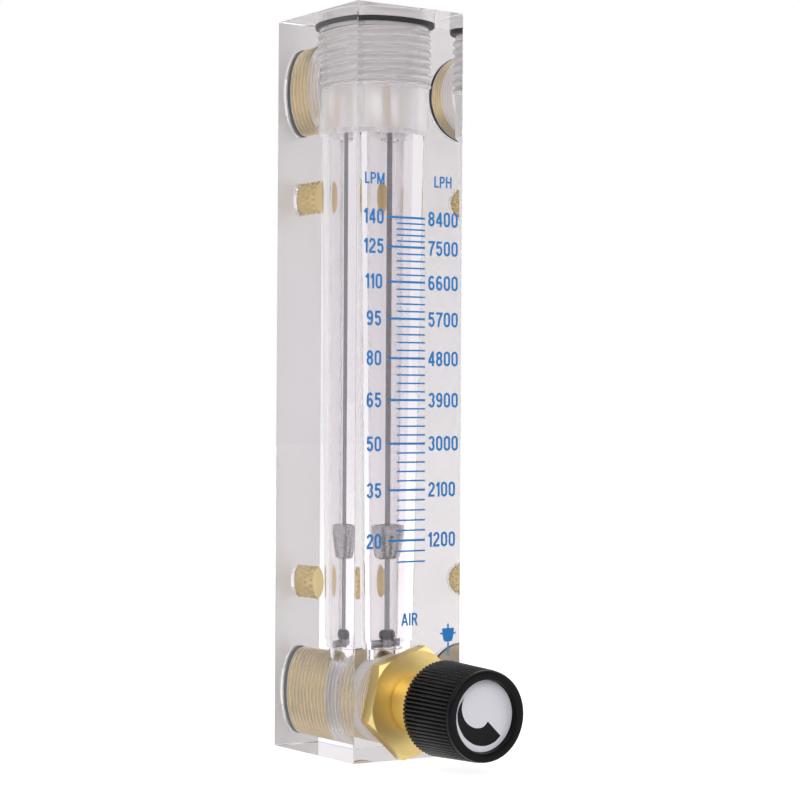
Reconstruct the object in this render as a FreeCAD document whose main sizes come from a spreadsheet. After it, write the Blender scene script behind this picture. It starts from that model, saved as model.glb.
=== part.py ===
# Rotameter: an acrylic block meter with a tapered bore, a guided float and a knob valve at its foot.
#
# Frame: millimetres, +Z up. Z = 0 is the block's base, the metering bore stands on the Z axis and the
# scale face looks towards -Y. The ports and the mounting inserts open in the back face, towards +Y.

import FreeCAD, Part
import os
import re
import Sketcher
from FreeCAD import Placement, Rotation, Vector

# Driving dimensions, in millimetres unless a line says otherwise: alias, value, meaning.
SIZES = (
    ("block_width", 28.0, "acrylic block, side to side"),
    ("block_depth", 34.0, "acrylic block, scale face to back face"),
    ("block_height", 166.0, "acrylic block, base to top"),
    ("bore_setback", 14.0, "scale face to the bore's axis"),
    ("throat_radius", 5.0, "passage from the valve chamber up into the bore"),
    ("throat_length", 1.85, "top of the valve hole to the shoulder that carries the rod bridge"),
    ("bore_foot_radius", 6.45, "tapered bore, narrow end"),
    ("bore_head_radius", 8.6, "tapered bore, wide end"),
    ("chamber_depth", 27.5, "top face to the tapered bore's wide end"),
    ("shoulder_rise", 1.0, "height of the cone between the bore and the top chamber"),
    ("chamber_radius", 9.5, "top chamber and the tapped hole above it"),
    ("recess_radius", 11.15, "recess for the plug's head"),
    ("recess_depth", 3.2, "recess for the plug's head"),
    ("inlet_height", 12.7, "axis of the inlet, and of the valve opposite it"),
    ("outlet_drop", 16.2, "top face to the outlet's axis"),
    ("outlet_tap_depth", 14.8, "back face to the end of the outlet's tapped hole"),
    ("tap_radius", 9.25, "tapped holes of the ports and of the valve"),
    ("mouth_depth", 2.7, "seal recess round each port"),
    ("seat_play", 0.02, "play between a threaded or pressed piece and its hole"),
    ("plug_foot_depth", 17.8, "top face to the plug's foot"),
    ("boss_radius", 3.4, "plug's boss, which holds the rod and stops the float"),
    ("boss_length", 10.9, "plug's boss, below its foot"),
    ("plug_seal_section", 1.15, "section of the plug's O-ring"),
    ("head_play", 0.1, "radial play round the plug's head"),
    ("slot_width", 2.5, "driver slot in the plug's head"),
    ("slot_depth", 1.6, "driver slot in the plug's head"),
    ("rod_radius", 1.0, "guide rod"),
    ("rod_hold", 1.7, "length of rod held in the plug's boss"),
    ("rod_bevel", 0.2, "bevel at both ends of the guide rod"),
    ("bridge_height", 1.7, "rod bridge, and the diameter of its cross bar"),
    ("bridge_half_span", 5.8, "rod bridge, axis to the end of the bar"),
    ("bridge_play", 0.2, "end of the bar to the wall of its pocket"),
    ("bridge_hub_radius", 1.8, "rod bridge, hub round the rod"),
    ("bumper_section", 2.0, "section of the float's bumper ring"),
    ("float_ring_gap", 0.4, "float's rim to the wall of the bore's narrow end"),
    ("float_waist", 1.2, "float, rim radius less foot radius"),
    ("float_height", 7.4, "float"),
    ("float_rim", 2.0, "float, height of its straight rim"),
    ("float_edge", 0.6, "float, bevel of its lower edge"),
    ("float_rise", 16.1, "top of the bumper ring to the float's foot, as it stands"),
    ("float_play", 0.08, "radial play between float and rod"),
    ("valve_seat", 0.8, "bore's axis to the seat on the inlet bushing"),
    ("seat_radius", 6.5, "hole through the inlet bushing's seat"),
    ("seat_land", 3.0, "thickness of the inlet bushing's seat"),
    ("outlet_bush_gap", 0.7, "wall of the top chamber to the outlet bushing's inner end"),
    ("port_radius", 7.475, "threaded hole of each port"),
    ("port_lead", 0.4, "lead-in bevel at the mouth of each port"),
    ("port_wall", 0.805, "wall of a bushing inside its O-ring"),
    ("bush_sink", 0.3, "back face to a bushing's outer end"),
    ("port_seal_section", 1.8, "section of a port's O-ring"),
    ("insert_radius", 3.8, "mounting insert, over its knurl"),
    ("insert_length", 8.3, "mounting insert"),
    ("insert_sink", 0.9, "back face to an insert's outer end"),
    ("insert_bevel", 0.4, "bevel at both ends of an insert"),
    ("insert_thread_radius", 2.1, "threaded hole of an insert"),
    ("insert_low_height", 37.6, "lower insert, above the base"),
    ("insert_high_drop", 40.6, "upper insert, below the top face"),
    ("bonnet_reach", 8.8, "bonnet's threaded shank, inside the block"),
    ("shank_bevel", 0.6, "bevel at the shank's end"),
    ("hex_half_flats", 11.0, "bonnet's hexagon, axis to a flat"),
    ("hex_thickness", 3.5, "bonnet's hexagon"),
    ("hex_bevel", 0.9, "bevel of the hexagon's corners, along the axis"),
    ("hex_turn", 17.0, "angle of the hexagon, in degrees"),
    ("neck_radius", 6.6, "bonnet's round neck"),
    ("neck_length", 12.2, "bonnet's round neck"),
    ("neck_bevel", 0.5, "bevel at the neck's end"),
    ("stem_radius", 3.0, "spindle where it passes the seal"),
    ("screw_radius", 4.0, "spindle's lifting thread"),
    ("screw_length", 8.0, "spindle's lifting thread"),
    ("stem_play", 0.05, "radial play of the spindle in the bonnet"),
    ("nut_length", 8.3, "bonnet's lifting thread"),
    ("hub_pocket", 5.3, "pocket in the bonnet for the disc holder's hub"),
    ("hub_play", 0.4, "radial play of the hub in its pocket"),
    ("stem_seal_section", 1.1, "section of the spindle's O-ring"),
    ("stem_seal_inset", 3.5, "neck's end to the middle of the spindle's O-ring"),
    ("stem_groove_width", 1.32, "groove for the spindle's O-ring"),
    ("open_gap", 1.1, "valve seat to the rubber washer as it stands"),
    ("washer_thickness", 1.6, "rubber seat washer"),
    ("washer_inset", 0.2, "edge of the disc holder to the edge of the rubber washer"),
    ("holder_play", 0.85, "wall of the valve hole to the edge of the disc holder"),
    ("holder_thickness", 1.2, "disc holder's plate"),
    ("hub_radius", 4.6, "disc holder's hub"),
    ("hub_length", 5.0, "disc holder's hub"),
    ("hub_lip", 1.2, "lip of the hub that holds the button"),
    ("button_radius", 2.6, "spindle's button end, on which the disc swivels"),
    ("button_length", 1.8, "spindle's button end"),
    ("button_neck_radius", 1.8, "spindle behind its button end"),
    ("button_play", 0.1, "play of the button in the hub"),
    ("small_thread_radius", 1.25, "threaded holes of the two small screws"),
    ("small_screw_ease", 0.35, "clearance hole of a small screw, over its thread"),
    ("washer_screw_hold", 2.2, "washer screw, length held in the hub"),
    ("screw_head_radius", 2.8, "heads of the two small screws"),
    ("screw_head_height", 1.6, "heads of the two small screws"),
    ("screw_head_bevel", 0.5, "rounded edge of the small screws' heads"),
    ("knob_radius", 10.4, "knob, over the back ends of its ribs"),
    ("knob_taper", 0.55, "knob, how far its ribs close in towards their front ends"),
    ("knob_length", 16.4, "knob"),
    ("knob_standoff", 13.6, "scale face to the knob's back rim"),
    ("knob_rim_step", 0.16, "front ends of the knob's ribs down to its smooth front rim"),
    ("knob_rim_length", 1.1, "knob's smooth front rim"),
    ("knob_bevel", 0.3, "bevel of the knob's outer edges"),
    ("knob_hollow_play", 0.6, "bonnet's neck to the wall of the knob's hollow back"),
    ("knob_hollow_depth", 5.1, "hollow in the knob's back"),
    ("knob_face_radius", 7.7, "recess in the knob's front"),
    ("knob_face_depth", 2.3, "recess in the knob's front"),
    ("knob_web", 3.5, "knob's wall between the spindle's end and the front recess"),
    ("knob_screw_sink", 2.0, "front recess to the seat of the knob's screw"),
    ("knob_screw_hold", 5.0, "knob's screw, length held in the spindle"),
    ("flat_reach", 2.5, "spindle's axis to its flat, which turns with the knob"),
    ("rib_depth", 0.45, "flutes between the knob's ribs"),
    ("flute_width", 0.62, "flutes between the knob's ribs, across their mouth"),
    ("rib_count", 70, "ribs round the knob, a number"),
    ("disc_thickness", 0.8, "pointer disc in the knob's face"),
    ("disc_play", 0.05, "radial play round the pointer disc"),
    ("over_cut", 1.0, "how far a cutting outline runs past a face"),
)

# Places that follow from the driving dimensions. Those named for a face are its height or its Y.
BACK = "(block_depth - bore_setback)"
FRONT = "(-bore_setback)"
BRIDGE_FOOT = "(inlet_height + tap_radius + throat_length)"
BRIDGE_POCKET = "(bridge_half_span + bridge_play)"
TAPER_FOOT = f"({BRIDGE_FOOT} + bridge_height)"
FLOAT_FOOT = f"({TAPER_FOOT} + bumper_section + float_rise)"
FLOAT_RADIUS = "(bore_foot_radius - float_ring_gap)"
TAPER_HEAD = "(block_height - chamber_depth)"
RECESS_FLOOR = "(block_height - recess_depth)"
PLUG_FOOT = "(block_height - plug_foot_depth)"
BOSS_END = f"({PLUG_FOOT} - boss_length)"
ROD_TOP = f"({BOSS_END} + rod_hold)"
HEAD_RADIUS = "(recess_radius - head_play)"
COLLAR_RADIUS = f"({HEAD_RADIUS} - plug_seal_section)"
HEAD_FOOT = f"({RECESS_FLOOR} + plug_seal_section)"
OUTLET_HEIGHT = "(block_height - outlet_drop)"
MOUTH_FLOOR = f"({BACK} - mouth_depth)"
BUSH_END = f"({BACK} - bush_sink)"
BUSH_RADIUS = "(tap_radius - seat_play)"
BUSH_NECK = "(port_radius + port_wall)"
MOUTH_RADIUS = f"({BUSH_NECK} + port_seal_section + seat_play)"
INSERT_END = f"({BACK} - insert_sink)"
INSERT_FOOT = f"({INSERT_END} - insert_length)"
INSERT_HIGH = "(block_height - insert_high_drop)"
HEX_CORNER = "(hex_half_flats / cos(30))"
HEX_FACE = f"({FRONT} - hex_thickness)"
NECK_END = f"({HEX_FACE} - neck_length)"
SHANK_END = f"({FRONT} + bonnet_reach)"
POCKET_FLOOR = f"({SHANK_END} - hub_pocket)"
NUT_END = f"({POCKET_FLOOR} - nut_length)"
STEM_HOLE = "(stem_radius + stem_play)"
HOLDER_RADIUS = "(tap_radius - holder_play)"
SCREW_EYE = "(small_thread_radius + small_screw_ease)"
SEAL_PLACE = f"({NECK_END} + stem_seal_inset)"
WASHER_FACE = "(valve_seat - open_gap)"
HOLDER_FACE = f"({WASHER_FACE} - washer_thickness)"
HOLDER_BACK = f"({HOLDER_FACE} - holder_thickness)"
HUB_END = f"({HOLDER_BACK} - hub_length)"
LIP_FACE = f"({HUB_END} + hub_lip)"
BUTTON_BACK = f"({LIP_FACE} + button_play)"
BUTTON_FACE = f"({BUTTON_BACK} + button_length)"
SCREW_NEAR = f"({HUB_END} - 2 * button_play)"
SCREW_FAR = f"({SCREW_NEAR} - screw_length)"
KNOB_BACK = f"({FRONT} - knob_standoff)"
KNOB_FRONT = f"({KNOB_BACK} - knob_length)"
HOLLOW_FLOOR = f"({KNOB_BACK} - knob_hollow_depth)"
FACE_FLOOR = f"({KNOB_FRONT} + knob_face_depth)"
STEM_END = f"({FACE_FLOOR} + knob_web)"
KNOB_SCREW_SEAT = f"({FACE_FLOOR} + knob_screw_sink)"
KNOB_HOLLOW = "(neck_radius + knob_hollow_play)"
KNOB_SLIM = "(knob_radius - knob_taper)"
KNOB_RIM = f"({KNOB_SLIM} - knob_rim_step)"
RIB_END = f"({KNOB_FRONT} + knob_rim_length)"

UPRIGHT = Rotation()
ALONG_Y = Rotation(Vector(1, 0, 0), -90)  # turns a primitive's own Z axis to +Y
ALONG_X = Rotation(Vector(0, 1, 0), 90)  # turns a primitive's own Z axis to +X

document = FreeCAD.newDocument("Rotameter")
sheet = document.addObject("Spreadsheet::Sheet", "Sizes")
for row, (alias, value, meaning) in enumerate(SIZES, start=1):
    sheet.set(f"A{row}", str(value))
    sheet.setAlias(f"A{row}", alias)
    sheet.set(f"B{row}", meaning)
document.recompute()

ALIASES = {alias for alias, value, meaning in SIZES}
SUBPARTS = []


def bound(formula):
    """The formula with each alias written as a cell of the sheet."""
    return re.sub(r"[a-z_]+", lambda word: f"Sizes.{word[0]}" if word[0] in ALIASES else word[0], formula)


def value_of(owner, formula):
    """What the formula comes to with the sizes as they are."""
    return float(owner.evalExpression(bound(formula)))


def bind(owner, **formulas):
    """Binds properties of an object to formulas of the sizes; Base_y stands for Placement.Base.y."""
    for name, formula in formulas.items():
        path = name.replace("Base_", "Placement.Base.").replace("Offset_", "AttachmentOffset.Base.")
        owner.setExpression(path, bound(formula))


def keep(subpart, label):
    """Lists a finished sub-part under the name of its node."""
    subpart.Label = label
    SUBPARTS.append(subpart)
    return subpart


# ---- PartDesign: bodies, outlines and features ----------------------------------------------------


def new_body(label, height=None):
    """A body for one sub-part, lifted to a height where its axis does not lie in the base plane."""
    body = document.addObject("PartDesign::Body", label.title().replace("_", ""))
    if height is not None:
        bind(body, Base_z=height)
    return keep(body, label)


def origin_feature(body, role):
    """One of the body's own origin planes or axes."""
    return next(feature for feature in body.Origin.OriginFeatures if feature.Role == role)


def outline(body, plane, corners, **offsets):
    """A closed outline of straight runs on one of the body's planes, its corners bound to the sizes."""
    sketch = body.newObject("Sketcher::SketchObject", "Outline")
    sketch.AttachmentSupport = [(origin_feature(body, plane), "")]
    sketch.MapMode = "FlatFace"
    bind(sketch, **offsets)
    points = [Vector(value_of(sketch, u), value_of(sketch, v), 0) for u, v in corners]
    count = len(points)
    for index, point in enumerate(points):
        sketch.addGeometry(Part.LineSegment(point, points[(index + 1) % count]), False)
    for index, (u, v) in enumerate(corners):
        sketch.addConstraint(Sketcher.Constraint("Coincident", index, 2, (index + 1) % count, 1))
        for kind, formula, place in (("DistanceX", u, points[index].x), ("DistanceY", v, points[index].y)):
            number = sketch.addConstraint(Sketcher.Constraint(kind, -1, 1, index, 1, place))
            sketch.setExpression(f"Constraints[{number}]", bound(formula))
    document.recompute()
    return sketch


def spin(body, kind, sketch, axis):
    """A Revolution or a Groove of the outline about one of its sketch's own axes."""
    feature = body.newObject(f"PartDesign::{kind}", kind)
    feature.Profile = sketch
    feature.ReferenceAxis = (sketch, [axis])
    feature.Angle = 360
    sketch.Visibility = False
    document.recompute()
    return feature


def turned_up(label, corners):
    """A piece turned about the Z axis, from an outline of (radius, height) corners."""
    body = new_body(label)
    spin(body, "Revolution", outline(body, "XZ_Plane", corners), "V_Axis")
    return body


def turned_back(label, height, corners):
    """A piece turned about a level axis along Y, from an outline of (Y, radius) corners."""
    body = new_body(label, height)
    spin(body, "Revolution", outline(body, "YZ_Plane", corners), "H_Axis")
    return body


def bored_back(body, height, corners):
    """Bores the block along Y at a height, from an outline of (Y, radius) corners."""
    spin(body, "Groove", outline(body, "YZ_Plane", corners, Offset_y=height), "H_Axis")


def extrude(body, kind, sketch, length, backwards=False):
    """A Pad or a Pocket of the outline."""
    feature = body.newObject(f"PartDesign::{kind}", kind)
    feature.Profile = sketch
    feature.Reversed = backwards
    bind(feature, Length=length)
    sketch.Visibility = False
    document.recompute()
    return feature


def rectangle(left, right, low, high):
    """The corners of a rectangle."""
    return ((left, low), (right, low), (right, high), (left, high))


# ---- Part: primitives ------------------------------------------------------------------------------


def cylinder(name, radius, length, turn=UPRIGHT, **places):
    """A Part cylinder with its size and place bound to the sizes."""
    solid = document.addObject("Part::Cylinder", name)
    solid.Placement = Placement(Vector(), turn)
    bind(solid, Radius=radius, Height=length, **places)
    return solid


def ring(label, inner_radius, section, turn=UPRIGHT, **places):
    """A round rubber ring, given by the radius of its hole and its section."""
    solid = document.addObject("Part::Torus", label.title().replace("_", ""))
    solid.Placement = Placement(Vector(), turn)
    bind(solid, Radius1=f"{inner_radius} + {section} / 2", Radius2=f"{section} / 2", **places)
    return keep(solid, label)


# ---- The block and what closes it -----------------------------------------------------------------


def meter_block():
    """Clear block with the tapered bore, its chambers, the two ports, the valve hole and insert holes."""
    body = new_body("meter_block")
    plan = outline(body, "XY_Plane", rectangle("-block_width / 2", "block_width / 2", FRONT, BACK))
    extrude(body, "Pad", plan, "block_height")
    shoulder = f"{TAPER_HEAD} + shoulder_rise"
    past_top = "block_height + over_cut"
    metering_bore = (
        ("0", "inlet_height"),
        ("throat_radius", "inlet_height"),
        ("throat_radius", BRIDGE_FOOT),
        (BRIDGE_POCKET, BRIDGE_FOOT),
        (BRIDGE_POCKET, TAPER_FOOT),
        ("bore_foot_radius", TAPER_FOOT),
        ("bore_head_radius", TAPER_HEAD),
        ("chamber_radius", shoulder),
        ("chamber_radius", RECESS_FLOOR),
        ("recess_radius", RECESS_FLOOR),
        ("recess_radius", past_top),
        ("0", past_top),
    )
    spin(body, "Groove", outline(body, "XZ_Plane", metering_bore), "V_Axis")
    past_back = f"{BACK} + over_cut"
    past_front = f"{FRONT} - over_cut"
    port_ends = ((past_front, "inlet_height"), (f"{BACK} - outlet_tap_depth", OUTLET_HEIGHT))
    for inner_end, height in port_ends:
        port = (
            (inner_end, "0"),
            (inner_end, "tap_radius"),
            (MOUTH_FLOOR, "tap_radius"),
            (MOUTH_FLOOR, MOUTH_RADIUS),
            (past_back, MOUTH_RADIUS),
            (past_back, "0"),
        )
        bored_back(body, height, port)
    for height in ("insert_low_height", INSERT_HIGH):
        bored_back(body, height, rectangle(INSERT_FOOT, past_back, "0", "insert_radius"))


def top_plug():
    """Clear screw plug: a slotted head over its O-ring, a threaded plug and a boss that holds the rod."""
    plug_radius = "chamber_radius - seat_play"
    socket_radius = "rod_radius + seat_play"
    body = turned_up(
        "top_plug",
        (
            ("0", ROD_TOP),
            (socket_radius, ROD_TOP),
            (socket_radius, BOSS_END),
            ("boss_radius", BOSS_END),
            ("boss_radius", PLUG_FOOT),
            (plug_radius, PLUG_FOOT),
            (plug_radius, RECESS_FLOOR),
            (COLLAR_RADIUS, RECESS_FLOOR),
            (COLLAR_RADIUS, HEAD_FOOT),
            (HEAD_RADIUS, HEAD_FOOT),
            (HEAD_RADIUS, "block_height"),
            ("0", "block_height"),
        ),
    )
    reach = "(recess_radius + over_cut)"
    slot = rectangle(f"-{reach}", reach, "-slot_width / 2", "slot_width / 2")
    extrude(body, "Pocket", outline(body, "XY_Plane", slot, Offset_z="block_height"), "slot_depth")
    ring("top_plug_seal", COLLAR_RADIUS, "plug_seal_section", Base_z=f"{RECESS_FLOOR} + plug_seal_section / 2")


# ---- Rod and float --------------------------------------------------------------------------------


def guide_rod():
    """Straight rod from the bridge up into the plug's boss."""
    inner = "rod_radius - rod_bevel"
    turned_up(
        "guide_rod",
        (
            ("0", BRIDGE_FOOT),
            (inner, BRIDGE_FOOT),
            ("rod_radius", f"{BRIDGE_FOOT} + rod_bevel"),
            ("rod_radius", f"{ROD_TOP} - rod_bevel"),
            (inner, ROD_TOP),
            ("0", ROD_TOP),
        ),
    )


def rod_bridge():
    """Round bar across the throat with a hub that the rod's lower end stands in."""
    middle = f"{BRIDGE_FOOT} + bridge_height / 2"
    bar = cylinder(
        "BridgeBar",
        "bridge_height / 2",
        "2 * bridge_half_span",
        ALONG_X,
        Base_x="-bridge_half_span",
        Base_z=middle,
    )
    hub = cylinder("BridgeHub", "bridge_hub_radius", "bridge_height", Base_z=BRIDGE_FOOT)
    eye = cylinder("BridgeEye", "rod_radius + seat_play", "bridge_height", Base_z=BRIDGE_FOOT)
    joined = document.addObject("Part::Fuse", "BridgeJoined")
    joined.Base = bar
    joined.Tool = hub
    bridge = document.addObject("Part::Cut", "RodBridge")
    bridge.Base = joined
    bridge.Tool = eye
    keep(bridge, "rod_bridge")


def float_and_bumper():
    """Turned float that slides on the rod, and the ring that it lands on."""
    eye = "rod_radius + float_play"
    narrow = f"({FLOAT_RADIUS} - float_waist)"
    top = f"{FLOAT_FOOT} + float_height"
    turned_up(
        "float",
        (
            (eye, FLOAT_FOOT),
            (f"{narrow} - float_edge", FLOAT_FOOT),
            (narrow, f"{FLOAT_FOOT} + float_edge"),
            (FLOAT_RADIUS, f"{top} - float_rim"),
            (FLOAT_RADIUS, top),
            (eye, top),
        ),
    )
    ring("float_bumper", "rod_radius + seat_play", "bumper_section", Base_z=f"{TAPER_FOOT} + bumper_section / 2")


# ---- Ports and mounting inserts -------------------------------------------------------------------


def port_bushing(label, height, inner_corners):
    """Threaded brass bushing; the corners of its inner end come from the caller, bore side last."""
    turned_back(
        label,
        height,
        (
            *inner_corners,
            ("port_radius", f"{BUSH_END} - port_lead")[::-1],
            (BUSH_END, "port_radius + port_lead"),
            (BUSH_END, BUSH_NECK),
            (MOUTH_FLOOR, BUSH_NECK),
            (MOUTH_FLOOR, BUSH_RADIUS),
        ),
    )


def ports():
    """The two bushings, of which the inlet's carries the valve seat, and the O-rings round them."""
    seat_end = "valve_seat + seat_land"
    inlet_end = (
        ("valve_seat", BUSH_RADIUS),
        ("valve_seat", "seat_radius"),
        (seat_end, "seat_radius"),
        (seat_end, "port_radius"),
    )
    port_bushing("inlet_bushing", "inlet_height", inlet_end)
    outlet_foot = "chamber_radius + outlet_bush_gap"
    port_bushing("outlet_bushing", OUTLET_HEIGHT, ((outlet_foot, BUSH_RADIUS), (outlet_foot, "port_radius")))
    seal_place = f"{MOUTH_FLOOR} + port_seal_section / 2"
    for label, height in (("inlet_seal", "inlet_height"), ("outlet_seal", OUTLET_HEIGHT)):
        ring(label, BUSH_NECK, "port_seal_section", ALONG_Y, Base_y=seal_place, Base_z=height)


def mounting_inserts():
    """Two threaded brass inserts pressed into the back face."""
    outer = "insert_radius - seat_play"
    for label, height in (("lower_insert", "insert_low_height"), ("upper_insert", INSERT_HIGH)):
        turned_back(
            label,
            height,
            (
                (INSERT_FOOT, "insert_thread_radius"),
                (INSERT_END, "insert_thread_radius"),
                (INSERT_END, f"{outer} - insert_bevel"),
                (f"{INSERT_END} - insert_bevel", outer),
                (f"{INSERT_FOOT} + insert_bevel", outer),
                (INSERT_FOOT, f"{outer} - insert_bevel"),
            ),
        )


# ---- Valve -----------------------------------------------------------------------------------------


def valve_bonnet():
    """Brass bonnet: threaded shank, bevelled hexagon and round neck, bored for the spindle."""
    groove_near = f"{SEAL_PLACE} + stem_groove_width / 2"
    groove_far = f"{SEAL_PLACE} - stem_groove_width / 2"
    groove_floor = f"{STEM_HOLE} + stem_seal_section"
    body = turned_back(
        "valve_bonnet",
        "inlet_height",
        (
            (SHANK_END, "hub_radius + hub_play"),
            (SHANK_END, f"{BUSH_RADIUS} - shank_bevel"),
            (f"{SHANK_END} - shank_bevel", BUSH_RADIUS),
            (FRONT, BUSH_RADIUS),
            (FRONT, HEX_CORNER),
            (f"{HEX_FACE} + hex_bevel", HEX_CORNER),
            (HEX_FACE, "hex_half_flats"),
            (HEX_FACE, "neck_radius"),
            (f"{NECK_END} + neck_bevel", "neck_radius"),
            (NECK_END, "neck_radius - neck_bevel"),
            (NECK_END, STEM_HOLE),
            (groove_far, STEM_HOLE),
            (groove_far, groove_floor),
            (groove_near, groove_floor),
            (groove_near, STEM_HOLE),
            (NUT_END, STEM_HOLE),
            (NUT_END, "screw_radius + stem_play"),
            (POCKET_FLOOR, "screw_radius + stem_play"),
            (POCKET_FLOOR, "hub_radius + hub_play"),
        ),
    )
    turns = [f"({60 * corner} + hex_turn)" for corner in range(6)]
    hexagon = [(f"{HEX_CORNER} * cos({turn})", f"{HEX_CORNER} * sin({turn})") for turn in turns]
    flats = outline(body, "XZ_Plane", hexagon, Offset_z=f"-{HEX_FACE}")
    rim = sketch_circle(flats, f"{HEX_CORNER} + over_cut")
    extrude(body, "Pocket", rim, "hex_thickness")
    ring("stem_seal", STEM_HOLE, "stem_seal_section", ALONG_Y, Base_y=SEAL_PLACE, Base_z="inlet_height")


def sketch_circle(sketch, radius):
    """Adds a circle about the sketch's origin, its radius bound to the sizes."""
    circle = Part.Circle(Vector(), Vector(0, 0, 1), value_of(sketch, radius))
    number = sketch.addGeometry(circle, False)
    sketch.addConstraint(Sketcher.Constraint("Coincident", number, 3, -1, 1))
    size = sketch.addConstraint(Sketcher.Constraint("Radius", number, circle.Radius))
    sketch.setExpression(f"Constraints[{size}]", bound(radius))
    document.recompute()
    return sketch


def valve_disc():
    """Disc that the spindle pushes against the seat: holder, rubber washer and the washer's screw."""
    screw_hole_end = f"{HOLDER_FACE} - washer_screw_hold"
    turned_back(
        "disc_holder",
        "inlet_height",
        (
            (HOLDER_FACE, "small_thread_radius"),
            (HOLDER_FACE, HOLDER_RADIUS),
            (HOLDER_BACK, HOLDER_RADIUS),
            (HOLDER_BACK, "hub_radius"),
            (HUB_END, "hub_radius"),
            (HUB_END, "button_neck_radius + button_play"),
            (LIP_FACE, "button_neck_radius + button_play"),
            (LIP_FACE, "button_radius + button_play"),
            (f"{BUTTON_FACE} + button_play", "button_radius + button_play"),
            (f"{BUTTON_FACE} + button_play", "0"),
            (screw_hole_end, "0"),
            (screw_hole_end, "small_thread_radius"),
        ),
    )
    washer = rectangle(HOLDER_FACE, WASHER_FACE, SCREW_EYE, f"{HOLDER_RADIUS} - washer_inset")
    turned_back("seat_washer", "inlet_height", washer)
    small_screw("washer_screw", WASHER_FACE, "washer_thickness + washer_screw_hold", outwards=1)


def small_screw(label, seat, length, outwards):
    """Round-headed screw on the valve's axis; outwards is +1 where its head lies towards +Y."""
    sign = "+" if outwards > 0 else "-"
    back = "-" if outwards > 0 else "+"
    shank = "small_thread_radius - seat_play"
    head_end = f"{seat} {sign} screw_head_height"
    turned_back(
        label,
        "inlet_height",
        (
            (f"{seat} {back} ({length})", "0"),
            (f"{seat} {back} ({length})", shank),
            (seat, shank),
            (seat, "screw_head_radius"),
            (f"{head_end} {back} screw_head_bevel", "screw_head_radius"),
            (head_end, "screw_head_radius - screw_head_bevel"),
            (head_end, "0"),
        ),
    )


def spindle():
    """Spindle: button end, lifting thread, plain stem with a flat, and a hole for the knob's screw."""
    screw_hole_end = f"{STEM_END} + knob_screw_hold + over_cut"
    body = turned_back(
        "spindle",
        "inlet_height",
        (
            (BUTTON_FACE, "0"),
            (BUTTON_FACE, "button_radius"),
            (BUTTON_BACK, "button_radius"),
            (BUTTON_BACK, "button_neck_radius"),
            (SCREW_NEAR, "button_neck_radius"),
            (SCREW_NEAR, "screw_radius"),
            (SCREW_FAR, "screw_radius"),
            (SCREW_FAR, "stem_radius"),
            (STEM_END, "stem_radius"),
            (STEM_END, "small_thread_radius"),
            (screw_hole_end, "small_thread_radius"),
            (screw_hole_end, "0"),
        ),
    )
    beside = rectangle("flat_reach", "stem_radius + over_cut", "-stem_radius", "stem_radius")
    flat = outline(body, "XZ_Plane", beside, Offset_z=f"-{STEM_END}")
    extrude(body, "Pocket", flat, f"{HOLLOW_FLOOR} - {STEM_END}")


def knob():
    """Ribbed knob: hollow back, stem bore with a flat, screw seat and a recessed face."""
    body = turned_back(
        "knob",
        "inlet_height",
        (
            (KNOB_BACK, KNOB_HOLLOW),
            (KNOB_BACK, "knob_radius - knob_bevel"),
            (f"{KNOB_BACK} - knob_bevel", "knob_radius"),
            (RIB_END, KNOB_SLIM),
            (RIB_END, KNOB_RIM),
            (f"{KNOB_FRONT} + knob_bevel", KNOB_RIM),
            (KNOB_FRONT, f"{KNOB_RIM} - knob_bevel"),
            (KNOB_FRONT, "knob_face_radius"),
            (FACE_FLOOR, "knob_face_radius"),
            (FACE_FLOOR, "screw_head_radius + stem_play"),
            (KNOB_SCREW_SEAT, "screw_head_radius + stem_play"),
            (KNOB_SCREW_SEAT, SCREW_EYE),
            (STEM_END, SCREW_EYE),
            (STEM_END, "stem_radius + seat_play"),
            (HOLLOW_FLOOR, "stem_radius + seat_play"),
            (HOLLOW_FLOOR, KNOB_HOLLOW),
        ),
    )
    key = rectangle("flat_reach + seat_play", "stem_radius + over_cut", "-stem_radius", "stem_radius")
    key_sketch = outline(body, "XZ_Plane", key, Offset_z=f"-{STEM_END}")
    extrude(body, "Pad", key_sketch, f"{HOLLOW_FLOOR} - {STEM_END}", backwards=True)
    flute = (
        ("-flute_width / 2", KNOB_SLIM),
        ("-flute_width / 2", f"{KNOB_SLIM} + over_cut"),
        ("flute_width / 2", f"{KNOB_SLIM} + over_cut"),
        ("flute_width / 2", KNOB_SLIM),
        ("0", f"{KNOB_SLIM} - rib_depth"),
    )
    flute_sketch = outline(body, "XZ_Plane", flute, Offset_z=f"-{RIB_END}")
    first = extrude(body, "Pocket", flute_sketch, f"{KNOB_BACK} - {RIB_END}")
    first.UseCustomVector = True
    first.Direction = Vector(0, value_of(first, f"{KNOB_BACK} - {RIB_END}"), value_of(first, "knob_taper"))
    ribs = body.newObject("PartDesign::PolarPattern", "Ribs")
    ribs.Originals = [first]
    ribs.Axis = (origin_feature(body, "Y_Axis"), [""])
    ribs.Angle = 360
    bind(ribs, Occurrences="rib_count")
    body.Tip = ribs
    document.recompute()
    small_screw("knob_screw", KNOB_SCREW_SEAT, "knob_web - knob_screw_sink + knob_screw_hold", outwards=-1)
    disc = cylinder(
        "KnobDisc",
        "knob_face_radius - disc_play",
        "disc_thickness",
        ALONG_Y,
        Base_y=f"{FACE_FLOOR} - disc_thickness",
        Base_z="inlet_height",
    )
    keep(disc, "knob_disc")


# ---- Build, test and write -------------------------------------------------------------------------


def check(subpart):
    """Stops the build if a sub-part is empty, broken or not made of closed solids."""
    shape = subpart.Shape
    if shape.isNull() or not shape.isValid() or not shape.Solids:
        raise RuntimeError(f"{subpart.Label} has no sound solid")


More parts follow.
